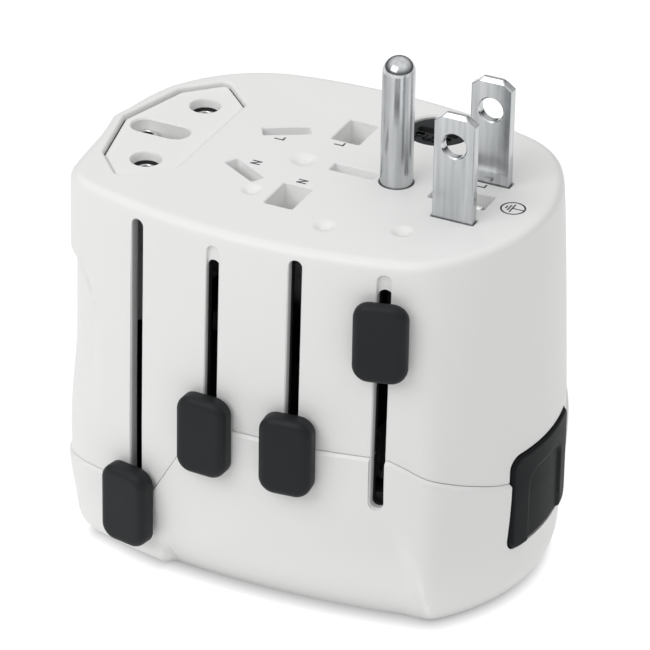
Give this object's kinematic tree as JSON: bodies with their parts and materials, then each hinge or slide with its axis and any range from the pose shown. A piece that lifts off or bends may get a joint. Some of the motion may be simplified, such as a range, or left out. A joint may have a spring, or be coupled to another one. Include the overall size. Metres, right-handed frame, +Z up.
{
  "type": "universal travel adapter",
  "caption": "White universal travel adapter with slide-out US, UK, Australian and Swiss pins, a release button, a fuse cap and a socket face.",
  "frame": {"origin": "centre of the bounding box in plan, at the socket face that the case stands on", "axes": "+Z up out of the plug face, -Y out of the face with the four sliders, +X towards the release button"},
  "size_m": [0.0722, 0.0576, 0.0806],
  "materials": {
    "white_case": "satin white moulded plastic",
    "soft_black": "soft-touch charcoal",
    "inner_white": "plain white nylon",
    "inner_black": "plain black nylon",
    "nickel_plate": "bright nickel plate over brass",
    "pin_plate": "nickel-plated brass",
    "contact_brass": "plain stamped brass",
    "steel": "zinc-plated steel",
    "ceramic": "glazed ceramic"
  },
  "bodies": {
    "case": {"upper_housing": "white_case", "lower_housing": "white_case", "inner_frame": "inner_black", "socket_plate": "white_case", "line_contact": "contact_brass", "neutral_contact": "contact_brass", "earth_contact": "contact_brass", "line_bus_bar": "contact_brass", "neutral_bus_bar": "contact_brass", "earth_bus_bar": "contact_brass", "fuse": "ceramic", "fuse_clip": "contact_brass", "lock_spring": "steel", "case_screw_1": "steel", "case_screw_2": "steel", "case_screw_3": "steel", "case_screw_4": "steel"},
    "us_slider": {"us_carrier": "inner_black", "us_line_blade": "nickel_plate", "us_neutral_blade": "nickel_plate", "us_ground_pin": "nickel_plate", "us_knob": "soft_black"},
    "uk_slider": {"uk_carrier": "inner_black", "uk_far_carrier": "inner_black", "uk_bridge_plate": "steel", "uk_line_pin": "pin_plate", "uk_neutral_pin": "pin_plate", "uk_earth_pin": "pin_plate", "uk_knob": "soft_black"},
    "aus_slider": {"aus_carrier": "inner_black", "aus_line_blade": "pin_plate", "aus_neutral_blade": "pin_plate", "aus_earth_blade": "pin_plate", "aus_knob": "soft_black"},
    "swiss_block": {"swiss_plug_block": "white_case"},
    "swiss_slider": {"swiss_carrier": "inner_black", "swiss_line_pin": "pin_plate", "swiss_neutral_pin": "pin_plate", "swiss_knob": "soft_black"},
    "swiss_earth": {"swiss_earth_pin": "pin_plate"},
    "release_button": {"release_button": "soft_black", "lock_plate": "steel"},
    "socket_shutter": {"socket_shutter": "inner_white"},
    "fuse_cap": {"fuse_cap": "soft_black"}
  },
  "joints": [
    {"name": "us_slide", "type": "slide", "parent": "case", "child": "us_slider", "axis": [0, 0, 1], "range_m": [-0.021, 0]},
    {"name": "uk_slide", "type": "slide", "parent": "case", "child": "uk_slider", "axis": [0, 0, 1], "range_m": [0, 0.023]},
    {"name": "aus_slide", "type": "slide", "parent": "case", "child": "aus_slider", "axis": [0, 0, 1], "range_m": [0, 0.0204]},
    {"name": "swiss_block_slide", "type": "slide", "parent": "case", "child": "swiss_block", "axis": [0, 0, 1], "range_m": [0, 0.0198]},
    {"name": "swiss_pin_slide", "type": "slide", "parent": "swiss_block", "child": "swiss_slider", "axis": [0, 0, 1], "range_m": [0, 0.019]},
    {"name": "swiss_earth_shift", "type": "slide", "parent": "swiss_slider", "child": "swiss_earth", "axis": [1, 0, 0], "range_m": [0, 0.005]},
    {"name": "button_press", "type": "slide", "parent": "case", "child": "release_button", "axis": [-1, 0, 0], "range_m": [0, 0.0015], "stiffness_N_per_m": 600},
    {"name": "shutter_slide", "type": "slide", "parent": "case", "child": "socket_shutter", "axis": [0, -1, 0], "range_m": [0, 0.0062], "stiffness_N_per_m": 60},
    {"name": "fuse_cap_turn", "type": "hinge", "parent": "case", "child": "fuse_cap", "pos_m": [0.00923, 0.01825, 0.06], "axis": [0, 0, 1], "range_deg": [0, 90]}
  ]
}
